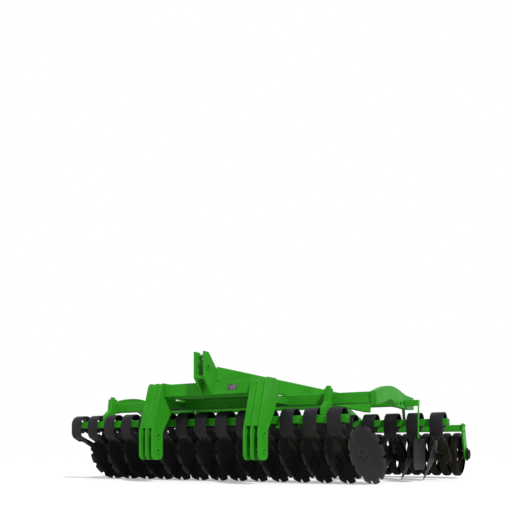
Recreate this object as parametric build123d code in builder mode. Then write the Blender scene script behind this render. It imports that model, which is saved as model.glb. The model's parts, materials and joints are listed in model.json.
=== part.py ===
"""A mounted short disc harrow: two rows of single discs on C shaped spring arms, and a ring roller.

Frame: +X to the machine's right as seen from the tractor side in front, +Y to the rear, +Z up.
The origin is on the ground, under the middle of the whole machine. All sizes are in millimetres.
"""
import os
from math import atan2, cos, degrees, radians, sin

from build123d import *

os.makedirs("parts", exist_ok=True)

# Running clearances and seats
seat = 0.3
bearing_clearance = 0.05

# Stations along the machine, measured rearwards from the front edge of the hitch plates
hitch_pin_station = 90
mast_front_station = 55
top_beam_station = 262
main_beam_station = 652
front_row_station = 457
row_spacing = 1270
roller_trail = 1123
roller_beam_lead = 155

# Rows of discs
discs_per_row = 14
disc_pitch = 250
row_shift = 310
disc_diameter = 600
disc_thickness = 6
disc_dish = 50
disc_flat_radius = 84
notch_count = 12
lobe_degrees = 20
notch_depth = 38
gang_degrees = 15
camber_degrees = 15
disc_trail_spare = 25

# Hub and bearing housing of a disc
hub_radius = 62
hub_sides = 6
hub_length = 22
housing_radius = 46
housing_length = 92
housing_sides = 6
hub_gap = 0.5

# Disc beams, square tubes
disc_beam_size = 80
disc_beam_height = 630
disc_beam_spare = 40

# Spring arms, one flat leaf each
leaf_width = 140
leaf_thickness = 14
arch_radius = 103
foot_bend_radius = 55
foot_reach = 34
tip_drop = 80
tip_bend_radius = 80
tip_turn_degrees = 66
tip_length = 76
arch_steps = 5
bend_steps = 2
clamp_width = 120
clamp_overhang = 4
clamp_height = 24

# Carrier casting from the leaf's tip to the bearing housing
carrier_width = 80
carrier_side = -10
carrier_thickness = 40
carrier_tip_thickness = 24
carrier_lap_spare = 14
carrier_run = 250
carrier_end_radius = 52

# Frame beams, with the clear heights that they leave over the spring arms
top_beam_size = 130
top_beam_step = 1
main_beam_size = 110
main_beam_clear = 38
main_beam_end = 35
rear_beam_size = 80
rear_beam_clear = 75
hitch_plate_thickness = 12

# Hitch brackets, three plates each
bracket_half_spacing = 625
bracket_plate_pitch = 78
bracket_plate = 20
bracket_width = 176
bracket_bottom = 236
bracket_knee = 522
bracket_cap = 15
bracket_toe = 150
bracket_heel = 350
bracket_corner = 30
bracket_end_radius = 55
bracket_end_steps = 3
bracket_inset = 18
bracket_solid_bottom = 560
link_hole_radius = 18.5
link_hole_rise = 88
link_hole_pitch = 156

# Mast
mast_half_spacing = 55
mast_plate = 20
mast_rise = 293
mast_depth = 78
mast_shoulder = 50
mast_corner = 30
top_link_hole_radius = 16.5
top_link_station = 119
top_link_rise = 142
mast_tube_radius = 19
mast_tube_sides = 8
mast_tube_inset = 40

# A frame legs from the mast to the rear beam
leg_width = 60
leg_height = 148
leg_front_inset = 10
leg_front_clear = 10
leg_rear_step = 15
leg_rear_clear = 16
leg_spare = 200

# Side plates at the ends of the main beam
side_plate = 60
side_end = 20
side_lip = 8

# Hangers under the beams for the disc beams, each a step off the middle between two arms
hanger_width = 60
hanger_outer_step = 5
hanger_inner_step = 15
hanger_depth = 84
hanger_rise = 42
hanger_foot = 70
rear_hanger_width = 24
rear_hanger_depth = 40

# Side deflector between the rows, on the right
deflector_reach = 155
deflector_width = 420
deflector_height = 330
deflector_bottom = 128
deflector_corner = 45
deflector_plate = 8
deflector_lead = 257
deflector_arm_size = 60
deflector_arm_drop = 28
strap_width = 30
strap_thickness = 10
strap_lap = 60

# Roller
roller_radius = 260
roller_lift = 30
ring_count = 31
ring_sides = 12
arms_per_ring = 2
turn_sides = 2
ring_face = 62
ring_gap = 28
ring_groove = 34
spoke_width = 50
spoke_thickness = 12
roller_axle_radius = 45
axle_sides = 6
roller_stub_radius = 30
roller_stub_recess = 4
roller_beam_size = 80
roller_beam_clear = 10
roller_plate = 20
roller_end_gap = 27.5
roller_plate_half = 55
roller_plate_foot = 60
bearing_boss_radius = 55
bearing_boss_length = 34
boss_sides = 12
roller_arm_side = 800
roller_arm_width = 70
roller_arm_height = 76

# Derived places along the machine
disc_radius = disc_diameter / 2
disc_trail = disc_radius + disc_trail_spare
rear_beam_station = front_row_station + row_spacing
roller_station = rear_beam_station + roller_trail
roller_beam_station = roller_station - roller_beam_lead
overall_length = roller_station + roller_radius
front_y = -overall_length / 2
main_front = main_beam_station - main_beam_size / 2
rear_face = rear_beam_station - rear_beam_size / 2
rear_back = rear_beam_station + rear_beam_size / 2
deflector_station = rear_beam_station - deflector_lead
beam_front = top_beam_station - top_beam_size / 2
beam_rear = top_beam_station + top_beam_size / 2
clamp_depth = disc_beam_size + clamp_overhang * 2
carrier_lap = tip_length - carrier_lap_spare

# Derived heights, from the spring arms up
disc_beam_top = disc_beam_height + disc_beam_size / 2
leaf_top = disc_beam_height + arch_radius + leaf_thickness / 2
main_low = leaf_top + main_beam_clear
main_top = main_low + main_beam_size
main_beam_height = main_low + main_beam_size / 2
rear_low = leaf_top + rear_beam_clear
rear_beam_height = rear_low + rear_beam_size / 2
top_beam_low = main_top + top_beam_step
top_beam_height = top_beam_low + top_beam_size / 2
beam_top = top_beam_low + top_beam_size
bracket_top = beam_top + bracket_cap
mast_top = beam_top + mast_rise
top_link_height = beam_top + top_link_rise
roller_height = roller_radius + roller_lift
roller_beam_height = roller_height + roller_radius + roller_beam_clear + roller_beam_size / 2

# Derived sideways places
disc_beam_length = disc_pitch * (discs_per_row - 1) + leaf_width + disc_beam_spare * 2
hanger_outer = row_shift + disc_pitch * (discs_per_row / 2 - 2) - hanger_outer_step
hanger_inner = disc_pitch * (discs_per_row / 2 - 1) - row_shift - hanger_inner_step
leg_rear_side = hanger_inner - leg_rear_step
main_beam_half = hanger_outer + main_beam_end
outer_face = main_beam_half + side_plate
deflector_side = outer_face + deflector_reach
ring_pitch = disc_pitch / 2
ring_half = ring_count * ring_pitch / 2
roller_plate_side = ring_half + roller_end_gap

# Sideways place of a disc from its arm: each rear disc cuts midway between two front ones
gang = radians(gang_degrees)
camber = radians(camber_degrees)
disc_side = row_shift - disc_pitch / 4 - disc_radius * sin(camber) * cos(gang)


def at(station):
    """Y of a station."""
    return front_y + station


def save(part, name):
    part.label = name
    export_step(part, f"parts/{name}.step")


def box_part(name, x_range, y_range, z_range):
    """A square beam given by its three ranges."""
    with BuildPart() as beam:
        with BuildSketch(Plane.XY.offset(z_range[0])):
            with Locations(((x_range[0] + x_range[1]) / 2, (y_range[0] + y_range[1]) / 2)):
                Rectangle(x_range[1] - x_range[0], y_range[1] - y_range[0])
        extrude(amount=z_range[1] - z_range[0])
    save(beam.part, name)


def centred(middle, size):
    return (middle - size / 2, middle + size / 2)


# Rows: name, side the discs stand on, shift of the arms, station of the disc beam
rows = [
    ("front", 1, -row_shift, front_row_station),
    ("rear", -1, row_shift, front_row_station + row_spacing),
]


def arm_places(shift):
    first = shift - disc_pitch * (discs_per_row - 1) / 2
    return [first + disc_pitch * index for index in range(discs_per_row)]


def arc_points(centre, radius, start, sweep, steps):
    """Points along an arc, given by its first angle and its sweep in degrees."""
    turns = [radians(start + sweep * index / steps) for index in range(steps + 1)]
    return [(centre[0] + radius * cos(turn), centre[1] + radius * sin(turn)) for turn in turns]


def leaf_side(offset):
    """One side of the leaf from foot to tip, offset outwards from its middle, in the beam's YZ frame."""
    foot_z = -(disc_beam_size / 2 + seat + leaf_thickness / 2)
    foot_centre_z = foot_z + foot_bend_radius
    foot_centre_y = ((arch_radius - foot_bend_radius) ** 2 - foot_centre_z**2) ** 0.5
    lift = degrees(atan2(foot_centre_z, foot_centre_y))
    foot_centre = (foot_centre_y, foot_centre_z)
    foot_bend = arc_points(foot_centre, foot_bend_radius + offset, -90, 90 + lift, bend_steps)
    arch = arc_points((0, 0), arch_radius + offset, lift, 180 - lift, arch_steps)
    tip_centre = (-arch_radius + tip_bend_radius, -tip_drop)
    tip_bend = arc_points(tip_centre, tip_bend_radius + offset, 180, tip_turn_degrees, bend_steps)
    return [(-foot_reach, foot_z - offset), *foot_bend, *arch[1:], *tip_bend, leaf_tip(offset)]


def leaf_tip(offset):
    """The tip's end on one side of the leaf, in the beam's YZ frame."""
    turn = radians(180 + tip_turn_degrees)
    reach = tip_bend_radius + offset
    return (
        -arch_radius + tip_bend_radius + reach * cos(turn) - tip_length * sin(turn),
        -tip_drop + reach * sin(turn) + tip_length * cos(turn),
    )


def disc_plane(side, arm_x, row_y):
    """Rim plane of a disc: its normal points out of the hollow side, its X to the lowest rim point."""
    normal = (side * cos(gang) * cos(camber), -sin(gang) * cos(camber), sin(camber))
    low = (side * sin(camber) * cos(gang), -sin(camber) * sin(gang), -cos(camber))
    origin = (arm_x + side * disc_side, row_y + disc_trail, disc_radius * cos(camber))
    return Plane(origin=origin, x_dir=low, z_dir=normal)


# One leaf, bent round the origin, which stands for the middle of its beam
with BuildPart() as leaf:
    with BuildSketch(Plane.YZ.offset(-leaf_width / 2)):
        with BuildLine():
            Polyline(*leaf_side(leaf_thickness / 2), *reversed(leaf_side(-leaf_thickness / 2)), close=True)
        make_face()
    extrude(amount=leaf_width)


def make_carrier(side):
    """Casting that laps the leaf's tip on its inner side and holds the bearing housing."""
    turn = radians(180 + tip_turn_degrees)
    along = (-sin(turn), cos(turn))
    inward = (-cos(turn), -sin(turn))
    tip = leaf_tip(-leaf_thickness / 2)

    def point(run, rise):
        """A point run past the start of the lap, and rise inwards of the leaf's face."""
        base = (tip[0] - carrier_lap * along[0], tip[1] - carrier_lap * along[1])
        return (
            base[0] + run * along[0] + (seat + rise) * inward[0],
            base[1] + run * along[1] + (seat + rise) * inward[1],
        )

    rim = disc_plane(side, 0, 0)
    rim.origin = rim.origin - Vector(0, 0, disc_beam_height)
    face = -(disc_dish + hub_length + hub_gap)
    end = rim.from_local_coords(Vector(0, 0, face - housing_length + housing_radius / 2))
    hub_y = end.Y
    hub_z = end.Z
    with BuildPart() as carrier:
        with BuildSketch(Plane.YZ.offset(side * carrier_side - carrier_width / 2)):
            with BuildLine():
                Polyline(
                    point(0, 0),
                    point(0, carrier_tip_thickness),
                    point(carrier_run, carrier_thickness),
                    (hub_y + carrier_end_radius, hub_z),
                    (hub_y + carrier_end_radius / 2, hub_z - carrier_end_radius),
                    (hub_y - carrier_end_radius / 2, hub_z - carrier_end_radius),
                    point(carrier_run, 0),
                    close=True,
                )
            make_face()
        extrude(amount=carrier_width)
        with BuildSketch(rim.offset(face)):
            RegularPolygon(housing_radius, housing_sides)
        extrude(amount=-housing_length)
    return carrier.part


# One dished, notched disc of flat petals, with its hub on the back. A petal is drawn on its own
# slanted plane, whose X runs outwards from the flat middle to the lobe between two notches.
petal_half = radians(180 / notch_count)
lobe_half = radians(lobe_degrees / 2)
rim_run = disc_radius * cos(lobe_half) - disc_flat_radius
slant = atan2(disc_dish, rim_run)
petal_plane = Plane(
    origin=(disc_flat_radius, 0, -disc_dish),
    x_dir=(cos(slant), 0, sin(slant)),
    z_dir=(-sin(slant), 0, cos(slant)),
)
# Corners on one side: distance from the axis, and angle from the petal's middle
petal_corners = [
    (disc_flat_radius / cos(petal_half), petal_half),
    (disc_radius - notch_depth, petal_half),
    (disc_radius, lobe_half),
]
half_outline = [
    ((reach * cos(turn) - disc_flat_radius) / cos(slant), reach * sin(turn)) for reach, turn in petal_corners
]
with BuildPart() as disc_blank:
    with BuildSketch(Plane.XY.offset(-disc_dish)):
        RegularPolygon(
            disc_flat_radius,
            notch_count,
            major_radius=False,
            rotation=180 / notch_count + lobe_degrees / 2,
        )
    extrude(amount=disc_thickness)
    with BuildSketch(petal_plane):
        with BuildLine():
            Polyline(*half_outline, *[(run, -side) for run, side in reversed(half_outline)], close=True)
        make_face()
    petal = extrude(amount=disc_thickness, dir=(0, 0, 1), mode=Mode.PRIVATE)
    with PolarLocations(0, notch_count, start_angle=lobe_degrees / 2):
        add(petal)
    with BuildSketch(Plane.XY.offset(-disc_dish)):
        RegularPolygon(hub_radius, hub_sides)
    extrude(amount=-hub_length)

clamp_top = disc_beam_height - disc_beam_size / 2 - leaf_thickness - seat * 2
for row_name, row_side, shift, station in rows:
    arms = arm_places(shift)
    box_part(
        f"{row_name}_disc_beam",
        centred(shift, disc_beam_length),
        centred(at(station), disc_beam_size),
        centred(disc_beam_height, disc_beam_size),
    )
    with BuildPart() as spring_arms:
        with Locations(*[(arm_x, at(station), disc_beam_height) for arm_x in arms]):
            add(leaf.part)
    save(spring_arms.part, f"{row_name}_spring_arms")
    with BuildPart() as clamps:
        with BuildSketch(Plane.XY.offset(clamp_top)):
            with Locations(*[(arm_x, at(station)) for arm_x in arms]):
                Rectangle(clamp_width, clamp_depth)
        extrude(amount=-clamp_height)
    save(clamps.part, f"{row_name}_spring_clamps")
    carrier = make_carrier(row_side)
    with BuildPart() as carriers:
        with Locations(*[(arm_x, at(station), disc_beam_height) for arm_x in arms]):
            add(carrier)
    save(carriers.part, f"{row_name}_disc_carriers")
    for index, arm_x in enumerate(arms, start=1):
        with BuildPart() as disc:
            with Locations(disc_plane(row_side, arm_x, at(station))):
                add(disc_blank.part)
        save(disc.part, f"{row_name}_disc_{index:02d}")

# Cross beams of the frame
bracket_inner = bracket_half_spacing - bracket_plate_pitch - bracket_plate / 2
box_part(
    "top_cross_beam",
    (-bracket_inner, bracket_inner),
    centred(at(top_beam_station), top_beam_size),
    centred(top_beam_height, top_beam_size),
)
box_part(
    "main_cross_beam",
    (-main_beam_half, main_beam_half),
    centred(at(main_beam_station), main_beam_size),
    centred(main_beam_height, main_beam_size),
)
box_part(
    "hitch_plate",
    (-bracket_inner, bracket_inner),
    (at(top_beam_station), at(main_front)),
    (top_beam_low - hitch_plate_thickness, top_beam_low),
)
box_part(
    "rear_cross_beam",
    (-main_beam_half, main_beam_half),
    centred(at(rear_beam_station), rear_beam_size),
    centred(rear_beam_height, rear_beam_size),
)


def plate_polygon(name, x_start, thickness, outline):
    """A flat plate in a YZ plane from station and height pairs."""
    with BuildPart() as plate:
        with BuildSketch(Plane.YZ.offset(x_start)):
            with BuildLine():
                Polyline(*[(at(station), height) for station, height in outline], close=True)
            make_face()
        extrude(amount=thickness)
    save(plate.part, name)


# Hitch brackets, outline as pairs of station and height
bracket_outline = [
    (bracket_toe, bracket_top - bracket_corner),
    (bracket_toe + bracket_corner, bracket_top),
    (bracket_heel, bracket_top),
    (bracket_heel + 2 * bracket_corner, main_top - bracket_corner),
    (main_front, main_top - bracket_corner),
    (main_front, main_low + bracket_corner / 2),
    (bracket_heel, main_low + bracket_corner / 2),
    (bracket_heel - bracket_corner, main_low - 2 * bracket_corner),
    (bracket_width, bracket_knee),
    *arc_points(
        (bracket_width - bracket_end_radius, bracket_bottom + bracket_end_radius),
        bracket_end_radius,
        0,
        -90,
        bracket_end_steps,
    ),
    *arc_points(
        (bracket_end_radius, bracket_bottom + bracket_end_radius),
        bracket_end_radius,
        -90,
        -90,
        bracket_end_steps,
    ),
    (0, bracket_knee),
]
bracket_solid = bracket_plate_pitch * 2 + bracket_plate
link_hole_low = bracket_bottom + link_hole_rise
link_hole_high = link_hole_low + link_hole_pitch
for name, side in (("left", -1), ("right", 1)):
    middle = side * bracket_half_spacing
    with BuildPart() as bracket:
        for index in (-1, 0, 1):
            start = middle + index * bracket_plate_pitch - bracket_plate / 2
            with BuildSketch(Plane.YZ.offset(start)):
                with BuildLine():
                    Polyline(*[(at(station), height) for station, height in bracket_outline], close=True)
                make_face()
            extrude(amount=bracket_plate)
        with BuildSketch(Plane.YZ.offset(middle - bracket_plate_pitch)):
            with BuildLine():
                Polyline(*[(at(station), height) for station, height in bracket_outline], close=True)
            make_face()
            offset(amount=-bracket_inset, kind=Kind.INTERSECTION)
            with Locations((at(0), bracket_solid_bottom)):
                Rectangle(
                    bracket_width * 4,
                    bracket_solid_bottom * 2,
                    align=(Align.CENTER, Align.MAX),
                    mode=Mode.SUBTRACT,
                )
        extrude(amount=bracket_plate_pitch * 2)
        with BuildSketch(Plane.YZ.offset(middle - bracket_solid / 2)):
            with Locations((at(hitch_pin_station), link_hole_low), (at(hitch_pin_station), link_hole_high)):
                Circle(link_hole_radius)
        extrude(amount=bracket_solid, mode=Mode.SUBTRACT)
    save(bracket.part, f"hitch_bracket_{name}")

# Mast
mast_outline = [
    (mast_front_station, mast_top),
    (mast_front_station, beam_top + bracket_corner),
    (beam_front, top_beam_low),
    (beam_front, beam_top),
    (beam_rear, beam_top),
    (beam_rear, top_link_height - mast_shoulder),
    (beam_rear - mast_shoulder, top_link_height),
    (mast_front_station + mast_depth * 2, mast_top - mast_shoulder - mast_corner),
    (mast_front_station + mast_depth, mast_top),
]
mast_solid = mast_half_spacing * 2 + mast_plate
with BuildPart() as mast:
    for side in (-1, 1):
        with BuildSketch(Plane.YZ.offset(side * mast_half_spacing - mast_plate / 2)):
            with BuildLine():
                Polyline(*[(at(station), height) for station, height in mast_outline], close=True)
            make_face()
        extrude(amount=mast_plate)
    with BuildSketch(Plane.YZ.offset(-mast_half_spacing)):
        with Locations(
            (at(mast_front_station + mast_depth), mast_top - mast_tube_inset),
            (at(mast_front_station + mast_tube_inset), beam_top + mast_tube_inset),
        ):
            RegularPolygon(mast_tube_radius, mast_tube_sides)
    extrude(amount=mast_half_spacing * 2)
    with BuildSketch(Plane.YZ.offset(-mast_solid / 2)):
        with Locations((at(top_link_station), top_link_height)):
            Circle(top_link_hole_radius)
    extrude(amount=mast_solid, mode=Mode.SUBTRACT)
save(mast.part, "mast")

# Legs from the mast back to the rear beam, clear of the top beam and of the spring arms
leg_front_side = mast_solid / 2
leg_front_height = beam_top + leg_front_clear + leg_height / 2
leg_rear_height = leaf_top + leg_rear_clear + leg_height / 2
for name, side in (("left", -1), ("right", 1)):
    start = Vector(side * leg_front_side, at(beam_rear - leg_front_inset), leg_front_height)
    end = Vector(side * leg_rear_side, at(rear_face), leg_rear_height)
    along = (end - start).normalized()
    level = Vector(0, 0, 1).cross(along).normalized()
    with BuildPart() as leg:
        with BuildSketch(Plane(origin=start - along * leg_spare, x_dir=level, z_dir=along)):
            Rectangle(leg_width, leg_height)
        extrude(amount=(end - start).length + leg_spare * 2)
        mast_side = Plane(origin=(side * (leg_front_side + seat), 0, 0), z_dir=(side, 0, 0))
        split(bisect_by=mast_side, keep=Keep.TOP)
        split(bisect_by=Plane(origin=(0, at(rear_face), 0), z_dir=(0, -1, 0)), keep=Keep.TOP)
    save(leg.part, f"frame_leg_{name}")

# Side plates: how far behind the main beam's front face, and how far above that beam's middle
rear_run = rear_back + side_end - main_front
rear_drop = rear_beam_height - main_beam_height
side_outline = [
    (-side_end, main_beam_size / 2 + seat),
    (360, 129),
    (453, 139),
    (533, 143),
    (663, 125),
    (803, 107),
    (rear_run, rear_drop + rear_beam_size / 2 + side_lip),
    (rear_run, rear_drop - rear_beam_size),
    (903, -43),
    (683, -3),
    (483, 5),
    (263, -18),
    (123, -main_beam_size / 2),
    (-side_end / 2, -main_beam_size / 2 - side_end),
]
side_pairs = [(main_front + run, main_beam_height + rise) for run, rise in side_outline]
for name, start in (("left", -main_beam_half - side_plate), ("right", main_beam_half)):
    plate_polygon(f"side_plate_{name}", start, side_plate, side_pairs)

# Hangers: pairs of station and height
beam_front_edge = front_row_station - disc_beam_size / 2
beam_rear_edge = front_row_station + disc_beam_size / 2
front_hanger = [
    (main_front, main_top + hanger_rise),
    (main_front - hanger_depth, main_top + hanger_rise),
    (main_front - hanger_depth * 1.2, main_low + hanger_rise / 2),
    (beam_front_edge, disc_beam_top + hanger_foot),
    (beam_front_edge, disc_beam_top),
    (beam_rear_edge, disc_beam_top),
    (main_front, main_low + hanger_rise / 4),
]
rear_hanger = [
    (rear_face, rear_low),
    (rear_back - rear_hanger_depth, disc_beam_top),
    (rear_back, disc_beam_top),
    (rear_face + rear_hanger_depth, rear_low),
]
for row_name, outline, width, places in (
    ("front", front_hanger, hanger_width, (-hanger_outer, hanger_inner)),
    ("rear", rear_hanger, rear_hanger_width, (-hanger_inner, hanger_outer)),
):
    for name, place in zip(("left", "right"), places):
        plate_polygon(f"{row_name}_hanger_{name}", place - width / 2, width, outline)

# Deflector: arm from the right side plate with a strap down, and the plate on the strap
deflector_inner = deflector_side - deflector_plate
deflector_arm_height = rear_beam_height - deflector_arm_drop
arm_low = deflector_arm_height - deflector_arm_size / 2
strap_bottom = deflector_bottom + deflector_height - strap_lap
with BuildPart() as deflector_arm:
    with BuildSketch(Plane.YZ.offset(outer_face)):
        with Locations((at(deflector_station), deflector_arm_height)):
            Rectangle(deflector_arm_size, deflector_arm_size)
    extrude(amount=deflector_inner - outer_face)
    with BuildSketch(Plane.XY.offset(strap_bottom)):
        with Locations((deflector_inner - strap_thickness / 2, at(deflector_station))):
            Rectangle(strap_thickness, strap_width)
    extrude(amount=arm_low - strap_bottom)
save(deflector_arm.part, "deflector_arm")
with BuildPart() as deflector:
    with BuildSketch(Plane.YZ.offset(deflector_inner)):
        with Locations((at(deflector_station), deflector_bottom + deflector_height / 2)):
            plate = Rectangle(deflector_width, deflector_height)
        chamfer(plate.vertices().group_by(Axis.Z)[0], deflector_corner)
    extrude(amount=deflector_plate)
save(deflector.part, "deflector_plate")

# Roller: one open ring on its spoke bar, then the row of rings on an axle, each turned on a little
roller_y = at(roller_station)
base_radius = roller_radius - ring_groove
ring_base = ring_pitch - ring_gap
side_angle = 360 / ring_sides
ring_rotation = 90 - side_angle / 2
with BuildPart() as ring:
    for start, start_radius, end, end_radius in (
        (-ring_base / 2, base_radius, -ring_face / 2, roller_radius),
        (-ring_face / 2, roller_radius, ring_face / 2, roller_radius),
        (ring_face / 2, roller_radius, ring_base / 2, base_radius),
    ):
        for x, radius in ((start, start_radius), (end, end_radius)):
            with BuildSketch(Plane.YZ.offset(x)):
                RegularPolygon(radius, ring_sides, major_radius=False, rotation=ring_rotation)
        loft(ruled=True)
    with BuildSketch(Plane.YZ.offset(-ring_base / 2)):
        RegularPolygon(base_radius, ring_sides, major_radius=False, rotation=ring_rotation)
    extrude(amount=ring_base, mode=Mode.SUBTRACT)
    with BuildSketch(Plane.YZ.offset(-spoke_thickness / 2)):
        with PolarLocations(0, arms_per_ring):
            Rectangle(base_radius + ring_groove / 2, spoke_width, align=(Align.MIN, Align.CENTER))
    extrude(amount=spoke_thickness)
with BuildPart() as roller:
    with BuildSketch(Plane.YZ.offset(-ring_half)):
        with Locations((roller_y, roller_height)):
            RegularPolygon(roller_axle_radius, axle_sides)
    extrude(amount=ring_half * 2)
    middles = [-ring_half + ring_pitch * (index + 0.5) for index in range(ring_count)]
    with Locations(
        *[
            Location((middle, roller_y, roller_height), (side_angle * turn_sides * index, 0, 0))
            for index, middle in enumerate(middles)
        ]
    ):
        add(ring.part)
    for side in (-1, 1):
        with BuildSketch(Plane.YZ.offset(side * ring_half)):
            with Locations((roller_y, roller_height)):
                Circle(roller_stub_radius)
        extrude(amount=side * (roller_end_gap + roller_plate + bearing_boss_length - roller_stub_recess))
save(roller.part, "roller")

beam_y = at(roller_beam_station)
box_part(
    "roller_beam",
    (-roller_plate_side, roller_plate_side),
    centred(beam_y, roller_beam_size),
    centred(roller_beam_height, roller_beam_size),
)
for name, side in (("left", -1), ("right", 1)):
    with BuildPart() as plate:
        with BuildSketch(Plane.YZ.offset(side * roller_plate_side)):
            with BuildLine():
                Polyline(
                    (beam_y - roller_plate_half, roller_beam_height + roller_plate_half),
                    (beam_y + roller_plate_half, roller_beam_height + roller_plate_half),
                    (roller_y + bearing_boss_radius, roller_height),
                    (roller_y + bearing_boss_radius, roller_height - roller_plate_foot),
                    (roller_y - bearing_boss_radius, roller_height - roller_plate_foot),
                    (beam_y - roller_plate_half, roller_beam_height - roller_plate_half),
                    close=True,
                )
            make_face()
        extrude(amount=side * roller_plate)
        with BuildSketch(Plane.YZ.offset(side * (roller_plate_side + roller_plate))):
            with Locations((roller_y, roller_height)):
                RegularPolygon(bearing_boss_radius, boss_sides)
        extrude(amount=side * bearing_boss_length)
        with BuildSketch(Plane.YZ.offset(side * roller_plate_side)):
            with Locations((roller_y, roller_height)):
                Circle(roller_stub_radius + bearing_clearance)
        extrude(amount=side * (roller_plate + bearing_boss_length), mode=Mode.SUBTRACT)
    save(plate.part, f"roller_side_plate_{name}")

# Roller arms from the rear beam to the roller beam
arm_rear = roller_beam_station - roller_beam_size / 2
arm_outline = [
    (rear_back, rear_beam_height + roller_arm_height / 2),
    (rear_back, rear_beam_height - roller_arm_height / 2),
    (arm_rear, roller_beam_height - roller_arm_height / 2),
    (arm_rear, roller_beam_height + roller_arm_height / 2),
]
for name, side in (("left", -1), ("right", 1)):
    plate_polygon(
        f"roller_arm_{name}",
        side * roller_arm_side - roller_arm_width / 2,
        roller_arm_width,
        arm_outline,
    )
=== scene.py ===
"""Looks of a mounted short disc harrow, dressed over its packed model.

Sizes are in metres, in the model's own frame: +X to the right seen from in front, +Y to the rear, +Z up.
"""
import json
from math import atan2, cos, pi, radians, sin, sqrt, tau

import bmesh
import bpy
from bpy.props import FloatProperty, FloatVectorProperty, IntProperty, PointerProperty
from mathutils import Matrix, Vector


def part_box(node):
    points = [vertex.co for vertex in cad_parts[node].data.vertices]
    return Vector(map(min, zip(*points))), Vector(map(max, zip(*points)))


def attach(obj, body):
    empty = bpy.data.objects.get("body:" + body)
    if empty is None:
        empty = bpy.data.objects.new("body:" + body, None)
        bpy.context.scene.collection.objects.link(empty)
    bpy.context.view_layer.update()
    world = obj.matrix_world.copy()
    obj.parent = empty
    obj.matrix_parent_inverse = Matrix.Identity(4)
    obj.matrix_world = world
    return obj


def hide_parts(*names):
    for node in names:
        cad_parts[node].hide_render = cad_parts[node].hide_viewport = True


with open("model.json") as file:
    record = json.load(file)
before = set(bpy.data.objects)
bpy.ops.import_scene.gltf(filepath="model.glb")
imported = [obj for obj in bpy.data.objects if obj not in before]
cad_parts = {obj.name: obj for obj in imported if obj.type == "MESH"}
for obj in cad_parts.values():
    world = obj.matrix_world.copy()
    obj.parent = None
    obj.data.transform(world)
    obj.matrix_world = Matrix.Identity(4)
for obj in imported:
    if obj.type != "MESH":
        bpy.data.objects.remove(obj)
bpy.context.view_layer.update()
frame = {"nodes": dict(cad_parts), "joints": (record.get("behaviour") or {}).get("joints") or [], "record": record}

bl_info = {
    "name": "Disc Harrow Looks",
    "version": (1, 0, 0),
    "blender": (4, 5, 0),
    "location": "3D View > Sidebar > Harrow",
    "description": "Dresses the disc harrow: painted frame, spring arms, discs, roller and their materials",
    "category": "Object",
}

# Points nearer than this are one point
MERGE = 1e-5

# Gap between two parts that lie on each other
SEAT = 0.0003

# Edges that turn less than this are shaded smooth
SMOOTH_ANGLE = radians(38)

# Faces that turn less than this from each other are one face
FLAT_ANGLE = radians(1)

# Least share of a face's normal that points along an axis, where the face looks that way
LOOKS_ALONG = 0.9

# Steps of a turned part: small, middling and large ones
SMALL_ROUND, ROUND, LARGE_ROUND = 24, 32, 40

# Rounding of a plate's edges
PLATE_CORNER = 0.003

# Lays a shape's Z along X
ALONG_X = Matrix.Rotation(pi / 2, 4, "Y")

# Half of a disc beam's side
DISC_BEAM_HALF = 0.04

# Thickness of the mast's plates and of the roller's side plates
THICK_PLATE = 0.02

# A bolt's washer and the crown of its head, as shares of the head's radius and the bolt's height
WASHER_REACH, WASHER_HEIGHT = 1.5, 0.2
HEAD_TAPER, CROWN_MARGIN, CROWN_RISE = 0.94, 0.18, 0.06

# The rows, and the side that each one's discs stand to
ROWS = (("front", 1), ("rear", -1))

# The sides of the machine, and which way each one is along X
SIDES = (("left", -1), ("right", 1))

# Parts of the frame that are dressed as they are, in green paint
PAINTED = [
    "top_cross_beam", "main_cross_beam", "rear_cross_beam", "front_disc_beam", "rear_disc_beam",
    "hitch_bracket_left", "hitch_bracket_right", "mast", "frame_leg_left", "frame_leg_right",
    "front_hanger_left", "front_hanger_right", "rear_hanger_left", "rear_hanger_right",
    "deflector_arm", "roller_beam", "hitch_plate",
    "roller_side_plate_left", "roller_side_plate_right", "roller_arm_left", "roller_arm_right",
]

# Painted tubes with a cap set a little into each end
CAPPED = {"front_disc_beam", "rear_disc_beam", "roller_beam"}

# Outline of a side plate: run behind the main beam's front face, rise over that beam's middle
SIDE_OUTLINE = [
    (-0.02, 0.0553), (0.103, 0.087), (0.186, 0.107), (0.271, 0.124), (0.36, 0.135), (0.433, 0.139),
    (0.51, 0.138), (0.57, 0.133), (0.695, 0.118), (0.825, 0.094), (0.926, 0.08), (1.19, 0.07),
    (1.19, -0.058), (0.977, -0.066), (0.792, -0.058), (0.6, -0.058), (0.53, -0.03), (0.47, 0.0),
    (0.418, 0.004), (0.36, -0.004), (0.3, -0.02), (0.131, -0.055), (-0.01, -0.075),
]

# Places of a side plate's bolts, in the same way
SIDE_SPOTS = [(0.601, -0.025), (0.727, -0.017), (0.842, -0.009)]

# Painted parts that are tubes, with rounder edges than the plates
TUBES = {"top_cross_beam", "main_cross_beam", "rear_cross_beam", "front_disc_beam", "rear_disc_beam",
         "frame_leg_left", "frame_leg_right", "roller_beam", "roller_arm_left", "roller_arm_right"}


def colour_property(name, description, default):
    return FloatVectorProperty(
        name=name, description=description, default=default, subtype="COLOR", size=3, min=0, max=1)


def length_property(name, description, default):
    return FloatProperty(name=name, description=description, default=default, min=0, unit="LENGTH")


def angle_property(name, description, default):
    return FloatProperty(name=name, description=description, default=radians(default), subtype="ANGLE")


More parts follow.
